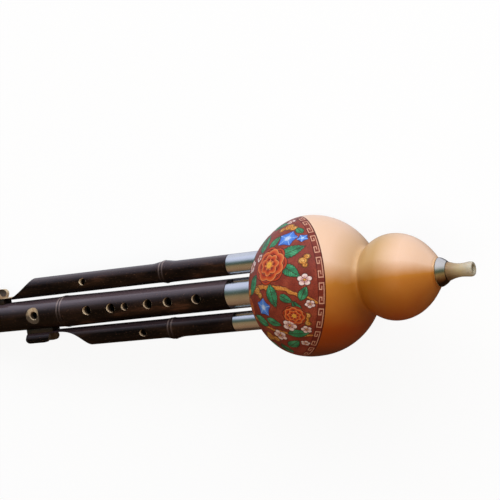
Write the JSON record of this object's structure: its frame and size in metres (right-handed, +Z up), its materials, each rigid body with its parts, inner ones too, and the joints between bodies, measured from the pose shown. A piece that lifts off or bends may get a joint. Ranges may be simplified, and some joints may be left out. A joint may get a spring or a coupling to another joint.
{
  "type": "hulusi",
  "caption": "Gourd free-reed wind instrument: a double-lobed gourd wind chamber with mouthpiece, a fingered bamboo pipe and drones that plug into metal sockets.",
  "frame": {"origin": "middle of the box's underside: the instrument lies on its back on a table, on the gourd and the foot of the main pipe", "axes": "+X from the mouthpiece towards the foot of the pipes, +Z up on the finger-hole side, +Y towards the short drone; the pipes slope down to +X by 6.8 degrees"},
  "size_m": [0.3993, 0.0896, 0.0895],
  "materials": {
    "gourd_skin": "lacquered gourd, carved and painted on the lower part of the large lobe",
    "bamboo": "polished dark purple bamboo",
    "spacer_wood": "stained hardwood",
    "peg_wood": "raw bamboo",
    "socket_metal": "polished nickel silver tube",
    "collar_metal": "bright plated",
    "reed_brass": "hammered and scraped brass sheet",
    "reed_tube_brass": "drawn brass tube",
    "ivory_resin": "ivory coloured resin",
    "cork": "cork sleeve",
    "wax": "beeswax and rosin"
  },
  "bodies": {
    "gourd": {"gourd_body": "gourd_skin", "socket_wax": "wax", "mouthpiece_collar": "collar_metal", "main_ferrule": "socket_metal", "long_drone_ferrule": "socket_metal", "short_drone_ferrule": "socket_metal"},
    "mouth": {"mouthpiece": "ivory_resin", "mouthpiece_cork": "cork"},
    "pipe_set": {"main_pipe": "bamboo", "main_tenon_seal": "cork", "main_reed_tube": "reed_tube_brass", "main_reed_plug": "wax", "main_reed_plate": "reed_brass", "long_drone_pipe": "bamboo", "long_drone_tenon_seal": "cork", "long_drone_reed_tube": "reed_tube_brass", "long_drone_reed_plug": "wax", "long_drone_reed_plate": "reed_brass", "short_drone_pipe": "bamboo", "short_drone_tenon_seal": "cork", "short_drone_reed_tube": "reed_tube_brass", "short_drone_reed_plug": "wax", "short_drone_reed_plate": "reed_brass", "long_drone_spacer": "spacer_wood", "long_drone_peg": "peg_wood", "short_drone_spacer": "spacer_wood", "short_drone_peg": "peg_wood"},
    "main_tongue": {"main_reed_tongue": "reed_brass"},
    "long_drone_tongue": {"long_drone_reed_tongue": "reed_brass"},
    "short_drone_tongue": {"short_drone_reed_tongue": "reed_brass"}
  },
  "joints": [
    {"name": "mouthpiece_pull", "type": "slide", "parent": "gourd", "child": "mouth", "axis": [-0.993, 0, 0.1185], "range_m": [0, 0.02]},
    {"name": "pipe_set_pull", "type": "slide", "parent": "gourd", "child": "pipe_set", "axis": [0.993, 0, -0.1185], "range_m": [0, 0.06]},
    {"name": "main_reed_beat", "type": "hinge", "parent": "pipe_set", "child": "main_tongue", "pos_m": [-0.0742, 0, 0.04846], "axis": [0, 1, 0], "range_deg": [-5, 5], "stiffness_Nm_per_rad": 0.001},
    {"name": "long_drone_reed_beat", "type": "hinge", "parent": "pipe_set", "child": "long_drone_tongue", "pos_m": [-0.0704, -0.0192, 0.04574], "axis": [0, 1, 0], "range_deg": [-4, 4], "stiffness_Nm_per_rad": 0.0005},
    {"name": "short_drone_reed_beat", "type": "hinge", "parent": "pipe_set", "child": "short_drone_tongue", "pos_m": [-0.06851, 0.0186, 0.04551], "axis": [0, 1, 0], "range_deg": [-4, 4], "stiffness_Nm_per_rad": 0.0005}
  ]
}
